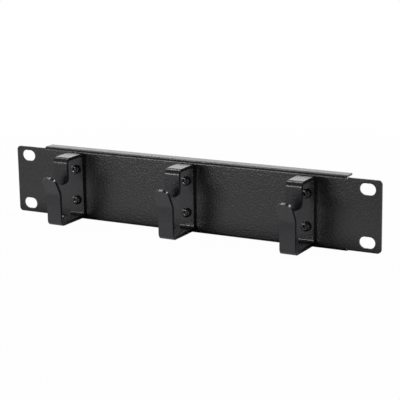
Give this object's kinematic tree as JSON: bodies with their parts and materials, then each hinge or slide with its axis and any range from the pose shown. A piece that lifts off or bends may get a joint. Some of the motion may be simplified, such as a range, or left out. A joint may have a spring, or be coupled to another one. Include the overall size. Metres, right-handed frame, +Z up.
{
  "type": "rack cable management panel",
  "caption": "Folded sheet panel with slotted ears for a small rack, carrying open bent-strip hooks that guide cables across its front.",
  "frame": {"origin": "centre of the rectangle of rack slots, on the rear side of the ears, which lies against the rails", "axes": "+X to the right seen from the front, +Y from the front into the rack, +Z up"},
  "size_m": [0.254, 0.0429, 0.0454],
  "materials": {
    "powder_coat": "black powder coat with a fine texture",
    "black_screw": "glossy black",
    "zinc_plate": "bright zinc plate"
  },
  "bodies": {
    "root": {"front_panel": "powder_coat", "cable_hook_left": "powder_coat", "hook_screw_left_upper": "black_screw", "lock_washer_left_upper": "zinc_plate", "hex_nut_left_upper": "zinc_plate", "hook_screw_left_lower": "black_screw", "lock_washer_left_lower": "zinc_plate", "hex_nut_left_lower": "zinc_plate", "cable_hook_centre": "powder_coat", "hook_screw_centre_upper": "black_screw", "lock_washer_centre_upper": "zinc_plate", "hex_nut_centre_upper": "zinc_plate", "hook_screw_centre_lower": "black_screw", "lock_washer_centre_lower": "zinc_plate", "hex_nut_centre_lower": "zinc_plate", "cable_hook_right": "powder_coat", "hook_screw_right_upper": "black_screw", "lock_washer_right_upper": "zinc_plate", "hex_nut_right_upper": "zinc_plate", "hook_screw_right_lower": "black_screw", "lock_washer_right_lower": "zinc_plate", "hex_nut_right_lower": "zinc_plate"}
  },
  "joints": []
}
